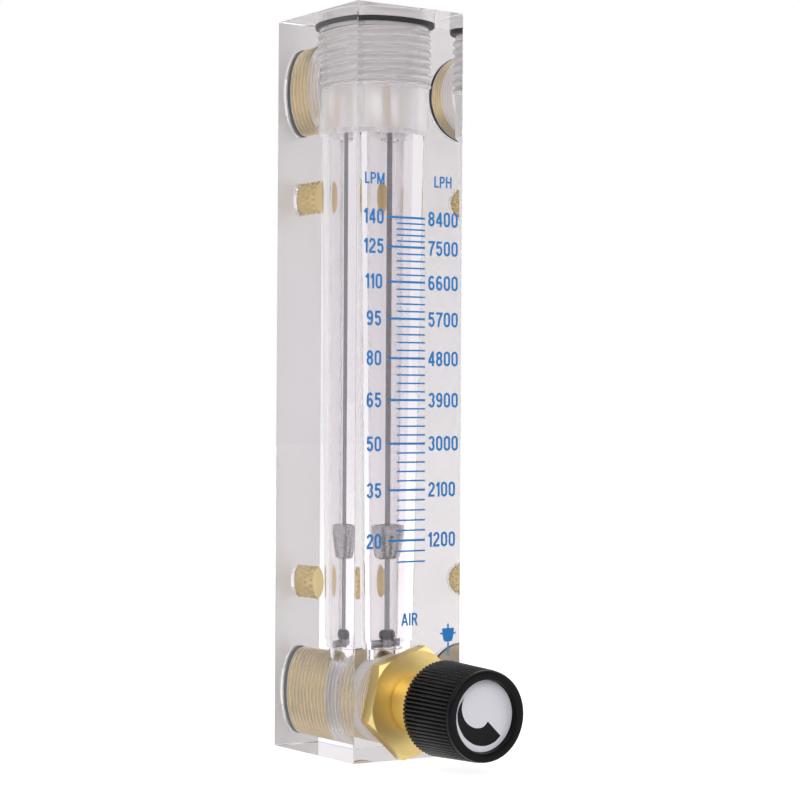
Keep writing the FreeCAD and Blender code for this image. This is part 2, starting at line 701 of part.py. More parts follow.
def main():
    meter_block()
    top_plug()
    guide_rod()
    rod_bridge()
    float_and_bumper()
    ports()
    mounting_inserts()
    valve_bonnet()
    valve_disc()
    spindle()
    knob()
    document.recompute()
    failed = [item.Name for item in document.Objects if {"Invalid", "Error"} & set(item.State)]
    if failed:
        raise RuntimeError(f"these objects failed: {failed}")
    os.makedirs("parts", exist_ok=True)
    for subpart in SUBPARTS:
        check(subpart)
        subpart.Shape.exportStep(f"parts/{subpart.Label}.step")


main()
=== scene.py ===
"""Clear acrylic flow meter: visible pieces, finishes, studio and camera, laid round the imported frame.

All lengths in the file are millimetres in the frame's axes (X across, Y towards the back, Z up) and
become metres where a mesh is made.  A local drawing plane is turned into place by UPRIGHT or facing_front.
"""

import math

import bmesh
import bpy
from mathutils import Matrix, Vector


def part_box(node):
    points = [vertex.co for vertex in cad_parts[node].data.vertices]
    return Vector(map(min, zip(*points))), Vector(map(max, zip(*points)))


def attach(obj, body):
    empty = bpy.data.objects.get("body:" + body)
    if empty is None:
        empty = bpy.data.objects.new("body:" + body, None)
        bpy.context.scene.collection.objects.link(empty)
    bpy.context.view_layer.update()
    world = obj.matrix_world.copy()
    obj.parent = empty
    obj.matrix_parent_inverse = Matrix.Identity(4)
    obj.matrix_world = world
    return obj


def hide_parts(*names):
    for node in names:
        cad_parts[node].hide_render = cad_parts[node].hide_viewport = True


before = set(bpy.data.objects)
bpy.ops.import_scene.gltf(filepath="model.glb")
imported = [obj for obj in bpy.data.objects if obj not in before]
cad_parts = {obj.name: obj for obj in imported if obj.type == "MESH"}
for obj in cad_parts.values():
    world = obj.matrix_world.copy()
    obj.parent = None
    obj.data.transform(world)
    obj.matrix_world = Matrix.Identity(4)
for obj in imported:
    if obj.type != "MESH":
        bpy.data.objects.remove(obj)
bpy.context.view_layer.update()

bl_info = {
    "name": "Acrylic flow meter",
    "version": (1, 0, 0),
    "blender": (4, 5, 0),
    "location": "3D View > Sidebar > Flow Meter",
    "description": "Builds the visible pieces of a clear acrylic flow meter round its packed frame",
    "category": "Object",
}

MM = 0.001
FULL_TURN = 2 * math.pi
WELD = 0.001


# ---- Places read from the frame ---------------------------------------------------------------------


def limits(node):
    """Lowest and highest corner of a frame node, in millimetres."""
    low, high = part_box(node)
    return low / MM, high / MM


BLOCK_LOW, BLOCK_HIGH = limits("meter_block")
FRONT = BLOCK_LOW.y
BACK = BLOCK_HIGH.y
INLET_Z = (limits("inlet_bushing")[0].z + limits("inlet_bushing")[1].z) / 2
OUTLET_Z = (limits("outlet_bushing")[0].z + limits("outlet_bushing")[1].z) / 2

# Local drawing axes: a turned piece is drawn about Z, and these carry it to its place.
UPRIGHT = Matrix.Identity(4)


def facing_front(height):
    """Drawing plane seen from the front: X stays across, Y points up, Z comes forward."""
    return Matrix.Translation((0, 0, height)) @ Matrix.Rotation(math.pi / 2, 4, "X")


# ---- Sizes and colours ------------------------------------------------------------------------------


def linear(code):
    """Linear colour of an sRGB hex value such as #B89A55."""
    channels = [int(code[place : place + 2], 16) / 255 for place in (1, 3, 5)]
    return [part / 12.92 if part <= 0.04045 else ((part + 0.055) / 1.055) ** 2.4 for part in channels]


def length(name, text, default):
    """A length in millimetres that a user may change."""
    return bpy.props.FloatProperty(name=name, description=text, default=default, min=0.0, precision=3)


def colour(name, text, code):
    """A colour that a user may change, given as an sRGB hex value."""
    return bpy.props.FloatVectorProperty(
        name=name, description=text, default=linear(code), subtype="COLOR", min=0.0, max=1.0
    )


class FlowMeterSizes(bpy.types.PropertyGroup):
    """Sizes of the detail that the frame leaves to the visible pieces, in millimetres."""

    port_pitch: length("Port thread pitch", "Pitch of the thread along the cross hole", 1.5)
    port_thread_depth: length("Port thread depth", "Depth of the thread along the cross hole", 0.8)
    plug_pitch: length("Plug thread pitch", "Pitch of the thread under the top plug", 1.814)
    plug_thread_depth: length("Plug thread depth", "Depth of the thread under the top plug", 0.75)
    thread_play: length("Thread play", "Gap between a brass thread and the acrylic one", 0.06)
    rib_depth: length("Rib depth", "Depth of the flutes round the knob", 0.5)
    knurl_depth: length("Knurl depth", "Depth of the crossed knurl on the inserts", 0.35)
    digit_height: length("Digit height", "Height of the scale's figures", 3.25)
    long_mark: length("Long mark", "Width of a numbered mark's line", 0.5)
    short_mark: length("Short mark", "Width of a mark's line between figures", 0.35)
    print_film: length("Print film", "Thickness of the printed ink", 0.02)


class FlowMeterColours(bpy.types.PropertyGroup):
    """Colours of the finishes."""

    acrylic: colour("Acrylic", "Tint of the clear block", "#F1EDF1")
    brass: colour("Brass", "Turned brass", "#E8D394")
    ink: colour("Scale ink", "Printed scale and figures", "#1B76BC")
    knob: colour("Knob", "Moulded knob", "#0A0A0B")
    dial: colour("Dial", "Printed disc on the knob", "#D4D3DB")


# ---- Meshes -----------------------------------------------------------------------------------------


def spun(outline, steps=96, closed=False):
    """A solid turned about Z from (radius, height) points; closed joins the last point to the first."""
    bm = bmesh.new()
    points = [bm.verts.new((radius, 0, height)) for radius, height in outline]
    pairs = list(zip(points, points[1:]))
    if closed:
        pairs.append((points[-1], points[0]))
    edges = [bm.edges.new(pair) for pair in pairs]
    bmesh.ops.spin(
        bm,
        geom=points + edges,
        cent=(0, 0, 0),
        axis=(0, 0, 1),
        angle=FULL_TURN,
        steps=steps,
        use_merge=True,
        use_duplicate=False,
    )
    bmesh.ops.remove_doubles(bm, verts=bm.verts, dist=WELD)
    bmesh.ops.recalc_face_normals(bm, faces=bm.faces)
    return bm


def torus(middle, section, height, steps=128, sides=24):
    """A ring of round section about Z."""
    turns = [FULL_TURN * side / sides for side in range(sides)]
    outline = [(middle + section * math.cos(turn), height + section * math.sin(turn)) for turn in turns]
    return spun(outline, steps, closed=True)


def thread(minor, major, pitch, low, high, steps=96):
    """A closed rod with a helical V thread about Z, cut square at low and high."""
    bm = bmesh.new()
    flat = pitch / 8
    turns = math.ceil((high - low) / pitch) + 3
    start = low - 2 * pitch
    outline = []
    for turn in range(turns):
        foot = start + turn * pitch
        outline.append((minor, foot))
        outline.append((minor, foot + flat))
        outline.append((major, foot + pitch / 2 - flat / 2))
        outline.append((major, foot + pitch / 2 + flat / 2))
    outline.append((minor, start + turns * pitch))
    points = [bm.verts.new((radius, 0, height)) for radius, height in outline]
    edges = [bm.edges.new(pair) for pair in zip(points, points[1:])]
    bmesh.ops.spin(
        bm,
        geom=points + edges,
        cent=(0, 0, 0),
        axis=(0, 0, 1),
        dvec=(0, 0, pitch / steps),
        angle=FULL_TURN,
        steps=steps,
        use_duplicate=False,
    )
    bmesh.ops.remove_doubles(bm, verts=bm.verts, dist=WELD)
    for place, side in ((low, -1), (high, 1)):
        cut = bmesh.ops.bisect_plane(
            bm,
            geom=bm.verts[:] + bm.edges[:] + bm.faces[:],
            dist=1e-5,
            plane_co=(0, 0, place),
            plane_no=(0, 0, side),
            clear_outer=True,
        )
        rim = [item for item in cut["geom_cut"] if isinstance(item, bmesh.types.BMEdge)]
        bmesh.ops.edgeloop_fill(bm, edges=rim)
    bmesh.ops.recalc_face_normals(bm, faces=bm.faces)
    return bm


def box(low, high, bevel=0.0):
    """A block between two corners, its edges broken by bevel."""
    bm = bmesh.new()
    bmesh.ops.create_cube(bm, size=1)
    size = Vector(high) - Vector(low)
    bmesh.ops.scale(bm, verts=bm.verts, vec=size)
    bmesh.ops.translate(bm, verts=bm.verts, vec=(Vector(high) + Vector(low)) / 2)
    if bevel:
        bmesh.ops.bevel(
            bm, geom=bm.edges[:], offset=bevel, segments=2, profile=0.5, affect="EDGES", material=-1
        )
    return bm


def as_object(name, bm, place=UPRIGHT, finish=None):
    """Turns a drawn bmesh into an object, in metres and in its place."""
    bmesh.ops.transform(bm, matrix=Matrix.Scale(MM, 4) @ place, verts=bm.verts)
    mesh = bpy.data.meshes.new(name)
    bm.to_mesh(mesh)
    bm.free()
    if finish:
        mesh.materials.append(finish)
    made = bpy.data.objects.new(name, mesh)
    bpy.context.scene.collection.objects.link(made)
    return made


def combine(base, *steps):
    """Applies (operation, object) steps to base in order with exact Booleans, and removes the tools."""
    for operation, tool in steps:
        change = base.modifiers.new("Combine", "BOOLEAN")
        change.operation = operation
        change.solver = "EXACT"
        change.material_mode = "TRANSFER"
        change.object = tool
        solid = bpy.data.meshes.new_from_object(base.evaluated_get(bpy.context.evaluated_depsgraph_get()))
        base.modifiers.clear()
        base.data = solid
        bpy.data.objects.remove(tool)
    return base


def finish_piece(piece, body, finish=None, replaced=(), crease=35):
    """Gives a piece its shading, body, slot and the frame nodes it stands for; no finish keeps its own."""
    piece.data.name = piece.name
    if finish:
        piece.data.materials.clear()
        piece.data.materials.append(finish)
    piece.data.shade_smooth()
    piece.data.set_sharp_from_angle(angle=math.radians(crease))
    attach(piece, body)
    if replaced:
        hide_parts(*replaced)
    return piece


# ---- Finishes ---------------------------------------------------------------------------------------


def add_node(tree, kind, values=None, links=None, **facts):
    """Adds a node: facts are its own settings, values its sockets' numbers, links its sockets' sources."""
    made = tree.nodes.new(kind)
    for fact, value in facts.items():
        setattr(made, fact, value)
    for socket, value in (values or {}).items():
        made.inputs[socket].default_value = value
    for socket, source in (links or {}).items():
        tree.links.new(source, made.inputs[socket])
    return made


def new_finish(name):
    """An empty node material, ready for its nodes."""
    finish = bpy.data.materials.new(name)
    finish.use_nodes = True
    finish.node_tree.nodes.clear()
    return finish


def close_finish(finish, shader):
    """Joins the last shader to the material's output."""
    add_node(finish.node_tree, "ShaderNodeOutputMaterial", links={"Surface": shader.outputs[0]})
    return finish


def opaque(code_or_colour):
    """Four-part colour for a shader's socket."""
    parts = linear(code_or_colour) if isinstance(code_or_colour, str) else list(code_or_colour)
    return (*parts[:3], 1.0)


def acrylic(name, tint, roughness, clearness=1.0):
    """Acrylic of a given polish; what is not clearness is white scatter from a cut surface."""
    finish = new_finish(name)
    tree = finish.node_tree
    shader = add_node(
        tree,
        "ShaderNodeBsdfPrincipled",
        {
            "Base Color": opaque(tint),
            "Roughness": roughness,
            "IOR": 1.49,
            "Transmission Weight": clearness,
        },
    )
    return close_finish(finish, shader)


def cast_acrylic():
    """Cast acrylic, machined and polished: glass-clear."""
    return acrylic("polished_cast_acrylic", bpy.context.scene.flow_meter_colours.acrylic, 0.0)


def tapped_acrylic():
    """Cast acrylic as a tap or a boring tool leaves it: frosted."""
    return acrylic("tapped_cast_acrylic", "#FFFDFC", 0.45, 0.6)


def milled_acrylic():
    """Cast acrylic as a milling cutter leaves it, on the side that faces the panel: matt."""
    return acrylic("milled_cast_acrylic", "#FDFBFB", 0.6, 0.55)


def grained_metal(name, tint, shade, roughness, grain, depth, turned_axis="Y"):
    """A turned metal: a fine even grain in its polish and relief, faint tarnish clouds, and a broken polish."""
    finish = new_finish(name)
    tree = finish.node_tree
    place = add_node(tree, "ShaderNodeTexCoord").outputs["Object"]
    clouds = add_node(
        tree, "ShaderNodeTexNoise", {"Scale": 160.0, "Detail": 4.0, "Roughness": 0.6}, {"Vector": place}
    )
    mixed = add_node(
        tree,
        "ShaderNodeMix",
        {"A": opaque(tint), "B": opaque(shade)},
        {"Factor": clouds.outputs["Fac"]},
        data_type="RGBA",
    )
    rings = add_node(
        tree, "ShaderNodeTexNoise", {"Scale": grain, "Detail": 2.0}, {"Vector": place}
    )
    polish = add_node(
        tree,
        "ShaderNodeMapRange",
        {"To Min": roughness * 0.8, "To Max": roughness * 1.25},
        {"Value": rings.outputs["Fac"]},
    )
    relief = add_node(
        tree,
        "ShaderNodeBump",
        {"Strength": depth, "Distance": 0.0001},
        {"Height": rings.outputs["Fac"]},
    )
    shader = add_node(
        tree,
        "ShaderNodeBsdfPrincipled",
        {"Metallic": 1.0},
        {
            "Base Color": mixed.outputs[2],
            "Roughness": polish.outputs[0],
            "Normal": relief.outputs[0],
        },
    )
    return close_finish(finish, shader)


def brass():
    """Free-machining brass, turned and lightly dulled: soft yellow sheen with browner clouds."""
    base = bpy.context.scene.flow_meter_colours.brass
    return grained_metal("turned_brass", base, "#D2B676", 0.4, 2500.0, 0.25)


def stainless():
    """Bright drawn stainless steel: neutral grey with a fine drawn grain."""
    return grained_metal("drawn_stainless", "#919194", "#76767A", 0.24, 3000.0, 0.2)


def float_steel():
    """Fine-turned stainless float: brighter than the rod, with soft bands."""
    return grained_metal("turned_float_steel", "#B4B4B2", "#98989A", 0.26, 2600.0, 0.2)


def moulded(name, tint, shade, roughness, grain, depth, gloss=0.5):
    """A moulded plastic or rubber: nearly even colour with a fine skin."""
    finish = new_finish(name)
    tree = finish.node_tree
    place = add_node(tree, "ShaderNodeTexCoord").outputs["Object"]
    skin = add_node(tree, "ShaderNodeTexNoise", {"Scale": grain, "Detail": 3.0}, {"Vector": place})
    mixed = add_node(
        tree,
        "ShaderNodeMix",
        {"A": opaque(tint), "B": opaque(shade)},
        {"Factor": skin.outputs["Fac"]},
        data_type="RGBA",
    )
    relief = add_node(
        tree,
        "ShaderNodeBump",
        {"Strength": depth, "Distance": 0.00005},
        {"Height": skin.outputs["Fac"]},
    )
    shader = add_node(
        tree,
        "ShaderNodeBsdfPrincipled",
        {"Roughness": roughness, "Specular IOR Level": gloss},
        {"Base Color": mixed.outputs[2], "Normal": relief.outputs[0]},
    )
    return close_finish(finish, shader)


def nitrile():
    """Moulded nitrile rubber: satin black with a faint bloom."""
    return moulded("nitrile_rubber", "#141415", "#1C1C1E", 0.5, 3000.0, 0.2, gloss=0.3)


def knob_plastic():
    """Moulded ABS in black: semi-gloss, with a barely uneven skin."""
    black = bpy.context.scene.flow_meter_colours.knob
    return moulded("black_moulded_abs", black, "#0E0E0F", 0.22, 2000.0, 0.15, gloss=0.1)


def dial_plastic():
    """Printed polystyrene disc: pale cool grey with a soft gloss."""
    return moulded("pale_printed_disc", bpy.context.scene.flow_meter_colours.dial, "#D8D7DF", 0.4, 1500.0, 0.05)


def scale_ink():
    """Screen-printed ink, baked: even blue film with a slight gloss."""
    return moulded("blue_screen_ink", bpy.context.scene.flow_meter_colours.ink, "#186FB2", 0.45, 4000.0, 0.1, gloss=0.3)


def dial_ink():
    """Screen-printed black ink on the dial: flat, slightly dusty black."""
    return moulded("black_screen_ink", "#060607", "#0B0B0C", 0.5, 4000.0, 0.1, gloss=0.15)


FINISHES = {
    "acrylic": cast_acrylic,
    "tapped_acrylic": tapped_acrylic,
    "milled_acrylic": milled_acrylic,
    "brass": brass,
    "stainless": stainless,
    "float": float_steel,
    "rubber": nitrile,
    "knob": knob_plastic,
    "dial": dial_plastic,
    "scale_ink": scale_ink,
    "dial_ink": dial_ink,
}
made_finishes = {}


def finish_of(kind):
    """The one material of a kind, made when first asked for."""
    if kind not in made_finishes:
        made_finishes[kind] = FINISHES[kind]()
    return made_finishes[kind]


# ---- Operators: one for each piece or group of like pieces -------------------------------------------


class PieceOperator:
    """What every piece's operator shares: its options, and the sizes it reads."""

    bl_options = {"REGISTER", "UNDO"}

    def execute(self, context):
        """Builds the pieces from the scene's sizes."""
        self.build(context.scene.flow_meter_sizes)
        return {"FINISHED"}


BORE_FOOT_Z = 23.8
TAPER_FOOT_Z = 25.5
TAPER_TOP_Z = 138.5
TOP_BORE_Z = 139.5
TOP_BORE_RADIUS = 9.5
RECESS_Z = 162.8
RECESS_RADIUS = 11.15
COLLAR_RADIUS = 9.9
PLUG_THREAD_Z = (149.1, 161.6)
PORT_MINOR = 9.25
MOUTH_RADIUS = 10.1
MOUTH_DEPTH = 2.7
OVER_CUT = 0.6
RING_BITE = 0.5  # how far the walls press into the rubber rings
KNURL_BITE = 0.4  # how far the plastic closes round the knurled inserts


class FLOWMETER_OT_block(PieceOperator, bpy.types.Operator):
    """Clear block with its tapered bore, cross hole, outlet tap, plug thread and insert holes"""

    bl_idname = "flow_meter.block"
    bl_label = "Acrylic block"

    def build(self, sizes):
        """Box less its bores, with the threads cut as helices."""
        polished = finish_of("acrylic")
        tapped = finish_of("tapped_acrylic")
        block = as_object("acrylic_block", box(BLOCK_LOW, BLOCK_HIGH, bevel=0.15), finish=polished)
        block.data.materials.append(finish_of("milled_acrylic"))
        for face in block.data.polygons:
            face.material_index = 1 if face.normal.y > 0.99 else 0
        bore = spun(
            (
                (0, INLET_Z),
                (5.0, INLET_Z),
                (5.0, BORE_FOOT_Z),
                (6.0, BORE_FOOT_Z),
                (6.0, TAPER_FOOT_Z),
                (6.45, TAPER_FOOT_Z),
                (8.6, TAPER_TOP_Z),
                (0, TAPER_TOP_Z),
            ),
            steps=160,
        )
        ring_low, ring_high = limits("top_plug_seal")
        seat_radius = (ring_high.x - ring_low.x) / 2 - RING_BITE
        chamber = spun(
            (
                (0, TAPER_TOP_Z - 0.1),
                (8.6, TAPER_TOP_Z - 0.1),
                (8.6, TAPER_TOP_Z),
                (TOP_BORE_RADIUS, TOP_BORE_Z),
                (TOP_BORE_RADIUS, RECESS_Z),
                (COLLAR_RADIUS + 0.05, RECESS_Z),
                (COLLAR_RADIUS + 0.05, RECESS_Z + RING_BITE),
                (seat_radius, RECESS_Z + RING_BITE),
                (seat_radius, ring_high.z),
                (RECESS_RADIUS, ring_high.z),
                (RECESS_RADIUS, BLOCK_HIGH.z + OVER_CUT),
                (0, BLOCK_HIGH.z + OVER_CUT),
            ),
            steps=160,
        )
        low, high = PLUG_THREAD_Z
        plug_minor = TOP_BORE_RADIUS - 0.05
        plug_major = TOP_BORE_RADIUS + sizes.plug_thread_depth
        plug_cut = thread(plug_minor, plug_major, sizes.plug_pitch, low - 0.3, high + 0.4, 128)
        port_major = PORT_MINOR + sizes.port_thread_depth
        mouth_floor = MOUTH_DEPTH - BACK
        tap_start = mouth_floor - 0.05
        cross = thread(PORT_MINOR, port_major, sizes.port_pitch, tap_start, -FRONT + OVER_CUT, 128)
        outlet_end = -limits("outlet_bushing")[0].y + 5.0
        outlet = thread(PORT_MINOR, port_major, sizes.port_pitch, tap_start, outlet_end, 128)
        tools = [
            as_object("bore", bore, finish=polished),
            as_object("chamber", chamber, finish=tapped),
            as_object("plug_cut", plug_cut, finish=tapped),
            as_object("cross", cross, facing_front(INLET_Z), tapped),
            as_object("outlet", outlet, facing_front(OUTLET_Z), tapped),
        ]
        for node, height in (("inlet_seal", INLET_Z), ("outlet_seal", OUTLET_Z)):
            low, high = limits(node)
            seat_radius = (high.x - low.x) / 2 - RING_BITE
            mouth = (
                (0, mouth_floor),
                (seat_radius, mouth_floor),
                (seat_radius, -high.y),
                (MOUTH_RADIUS, -high.y),
                (MOUTH_RADIUS, -BACK - OVER_CUT),
                (0, -BACK - OVER_CUT),
            )
            tools.append(as_object("mouth", spun(mouth, 160), facing_front(height), tapped))
        for node in ("lower_insert", "upper_insert"):
            low, high = limits(node)
            radius = (high.x - low.x) / 2
            hole = (
                (0, -low.y - KNURL_BITE),
                (radius - KNURL_BITE, -low.y - KNURL_BITE),
                (radius - KNURL_BITE, -high.y + KNURL_BITE),
                (radius, -high.y + KNURL_BITE),
                (radius, -BACK - OVER_CUT),
                (0, -BACK - OVER_CUT),
            )
            tools.append(as_object("hole", spun(hole, 96), facing_front((low.z + high.z) / 2), tapped))
        combine(block, *[("DIFFERENCE", tool) for tool in tools])
        finish_piece(block, "meter", replaced=["meter_block"], crease=20)


class FLOWMETER_OT_plug(PieceOperator, bpy.types.Operator):
    """Clear top plug: boss for the rod, thread, collar and slotted head"""

    bl_idname = "flow_meter.plug"
    bl_label = "Top plug"

    def build(self, sizes):
        """Turned body, threaded by a helical rod and slotted across its head."""
        low, high = limits("top_plug")
        radius = (high.x - low.x) / 2
        thread_low, thread_high = PLUG_THREAD_Z
        major = TOP_BORE_RADIUS + sizes.plug_thread_depth - sizes.thread_play
        minor = TOP_BORE_RADIUS - 0.05 - sizes.thread_play
        rod_radius = 1.02
        rod_end = limits("guide_rod")[1].z + 0.05
        cut_thread = thread(minor, major, sizes.plug_pitch, thread_low, thread_high, 128)
        polished = finish_of("acrylic")
        tapped = finish_of("tapped_acrylic")
        plug = as_object("threaded_plug", cut_thread, finish=tapped)
        envelope = spun(
            ((0, thread_low), (major - 0.9, thread_low), (major, thread_low + 0.9), (major, thread_high), (0, thread_high)),
            steps=128,
        )
        upper = spun(
            (
                (0, thread_high - 0.4),
                (minor, thread_high - 0.4),
                (minor, RECESS_Z - 0.6),
                (COLLAR_RADIUS - 0.45, RECESS_Z - 0.6),
                (COLLAR_RADIUS - 0.45, RECESS_Z),
                (COLLAR_RADIUS, RECESS_Z),
                (COLLAR_RADIUS, RECESS_Z + 1.15),
                (radius - 0.15, RECESS_Z + 1.15),
                (radius, RECESS_Z + 1.3),
                (radius, high.z - 0.3),
                (radius - 0.3, high.z),
                (0, high.z),
            ),
            steps=128,
        )
        boss = spun(
            (
                (rod_radius, low.z),
                (3.1, low.z),
                (3.4, low.z + 0.3),
                (3.4, thread_low + 0.3),
                (0, thread_low + 0.3),
                (0, rod_end),
                (rod_radius, rod_end),
            ),
            steps=96,
            closed=True,
        )
        slot = box((-radius - 1, -1.25, high.z - 1.6), (radius + 1, 1.25, high.z + 1))
        combine(
            plug,
            ("INTERSECT", as_object("envelope", envelope, finish=tapped)),
            ("UNION", as_object("upper", upper, finish=polished)),
            ("UNION", as_object("boss", boss, finish=polished)),
            ("DIFFERENCE", as_object("slot", slot, finish=polished)),
        )
        finish_piece(plug, "meter", replaced=["top_plug"], crease=20)


class FLOWMETER_OT_ports(PieceOperator, bpy.types.Operator):
    """Brass port bushings, threaded inside and out"""

    bl_idname = "flow_meter.ports"
    bl_label = "Port bushings"

    def build(self, sizes):
        """One bushing for each port, drawn looking from the front."""
        for node, name, height, seat in (
            ("inlet_bushing", "inlet_port", INLET_Z, 6.5),
            ("outlet_bushing", "outlet_port", OUTLET_Z, 7.475),
        ):
            low, high = limits(node)
            self.bushing(sizes, node, name, height, (-low.y, -high.y), seat)

    def bushing(self, sizes, node, name, height, ends, seat):
        """Threaded sleeve with a plain neck at the mouth."""
        inner, outer = ends
        shoulder = MOUTH_DEPTH - BACK
        major = PORT_MINOR + sizes.port_thread_depth - sizes.thread_play
        minor = PORT_MINOR - sizes.thread_play
        neck = 8.28
        bore = 7.475
        body = spun(
            (
                (seat, inner),
                (major - 0.7, inner),
                (major, inner - 0.7),
                (major, shoulder + 0.3),
                (major - 0.3, shoulder),
                (neck, shoulder),
                (neck, outer + 0.15),
                (neck - 0.15, outer),
                (bore + 0.4, outer),
                (bore, outer + 0.4),
                *(((bore, inner - 3.0), (seat, inner - 3.0)) if seat < bore else ()),
            ),
            steps=128,
            closed=True,
        )
        pipe_thread = thread(bore - 0.02, bore + 0.62, 1.337, outer - OVER_CUT, inner - 4.0, 96)
        place = facing_front(height)
        sleeve = as_object(
            name, thread(minor, major, sizes.port_pitch, outer - OVER_CUT, inner + OVER_CUT, 128), place
        )
        combine(
            sleeve,
            ("INTERSECT", as_object("body", body, place)),
            ("DIFFERENCE", as_object("pipe_thread", pipe_thread, place)),
        )
        finish_piece(sleeve, "meter", finish_of("brass"), [node])


class FLOWMETER_OT_seals(PieceOperator, bpy.types.Operator):
    """Rubber rings at the plug, the two ports and the foot of the rod"""

    bl_idname = "flow_meter.seals"
    bl_label = "Seals"

    def build(self, sizes):
        """Each ring's middle and section come from its frame node."""
        for node in ("top_plug_seal", "float_bumper"):
            low, high = limits(node)
            self.ring(node, (high.x - low.x) / 2, (high.z - low.z) / 2, (low.z + high.z) / 2, UPRIGHT)
        for node, height in (("inlet_seal", INLET_Z), ("outlet_seal", OUTLET_Z)):
            low, high = limits(node)
            self.ring(node, (high.x - low.x) / 2, (high.y - low.y) / 2, -(low.y + high.y) / 2, facing_front(height))

    def ring(self, node, radius, section, centre, place):
        """One ring that stands for its node."""
        names = {
            "top_plug_seal": "plug_ring",
            "float_bumper": "bumper_ring",
            "inlet_seal": "inlet_ring",
            "outlet_seal": "outlet_ring",
        }
        made = as_object(names[node], torus(radius - section, section, centre), place)
        finish_piece(made, "meter", finish_of("rubber"), [node])


class FLOWMETER_OT_inserts(PieceOperator, bpy.types.Operator):
    """Knurled brass mounting inserts in the back"""

    bl_idname = "flow_meter.inserts"
    bl_label = "Mounting inserts"

    def build(self, sizes):
        """Turned sleeve whose skin is pressed in by two crossed sets of helical grooves."""
        for node, name in (("lower_insert", "lower_knurled_insert"), ("upper_insert", "upper_knurled_insert")):
            low, high = limits(node)
            radius = (high.x - low.x) / 2
            inner, outer = -low.y, -high.y
            rows = 30
            run = [
                (radius - 0.02, inner - 0.4 + (outer + 0.8 - inner) * row / rows) for row in range(rows + 1)
            ]
            outline = [(0, inner), (radius - 0.4, inner), *run, (radius - 0.4, outer), (2.1, outer)]
            outline += [(2.1, inner - 1.2), (0, inner - 1.6)]
            bm = spun(outline, 144)
            self.knurl(bm, radius, inner, outer, sizes.knurl_depth)
            made = as_object(name, bm, facing_front((low.z + high.z) / 2))
            finish_piece(made, "meter", finish_of("brass"), [node], crease=50)

    def knurl(self, bm, radius, inner, outer, depth):
        """Sinks the skin where either helix passes."""
        grooves = 18
        lead = 14.0
        for point in bm.verts:
            reach = math.hypot(point.co.x, point.co.y)
            if reach < radius - 0.1:
                continue
            turn = math.atan2(point.co.y, point.co.x) * grooves
            climb = point.co.z * FULL_TURN / lead * grooves / 6
            ridge = max(0.0, math.cos(turn + climb)) * max(0.0, math.cos(turn - climb))
            scale = (reach - depth * (1 - min(1.0, 1.4 * ridge))) / reach
            point.co.x *= scale
            point.co.y *= scale


class FLOWMETER_OT_float(PieceOperator, bpy.types.Operator):
    """Turned float with a flat rim, a tapered body and a bored eye"""

    bl_idname = "flow_meter.float"
    bl_label = "Float"

    def build(self, sizes):
        """Turned outline from the frame node's height and rim."""
        low, high = limits("float")
        rim = (high.x - low.x) / 2
        foot = rim - 1.2
        eye = 1.08
        outline = [
            (eye, low.z),
            (foot - 1.3, low.z),
            (foot - 0.45, low.z + 0.3),
            (foot, low.z + 1.1),
            (rim - 0.05, high.z - 2.1),
            (rim, high.z - 2.0),
            (rim, high.z - 0.08),
            (rim - 0.08, high.z),
            (rim - 0.9, high.z),
            (rim - 1.1, high.z - 0.25),
            (eye + 0.9, high.z - 0.25),
            (eye + 0.8, high.z),
            (eye, high.z),
        ]
        made = as_object("metering_float", spun(outline, 128, closed=True))
        finish_piece(made, "float", finish_of("float"), ["float"], crease=25)


class FLOWMETER_OT_rod(PieceOperator, bpy.types.Operator):
    """Guide rod; the cross bar that carries its foot stays the frame node"""

    bl_idname = "flow_meter.rod"
    bl_label = "Guide rod"

    def build(self, sizes):
        """Drawn rod with broken ends."""
        low, high = limits("guide_rod")
        radius = (high.x - low.x) / 2
        outline = ((0, low.z), (radius - 0.2, low.z), (radius, low.z + 0.2))
        outline += ((radius, high.z - 0.2), (radius - 0.2, high.z), (0, high.z))
        rod = as_object("float_guide_rod", spun(outline, 48))
        finish_piece(rod, "meter", finish_of("stainless"), ["guide_rod"])


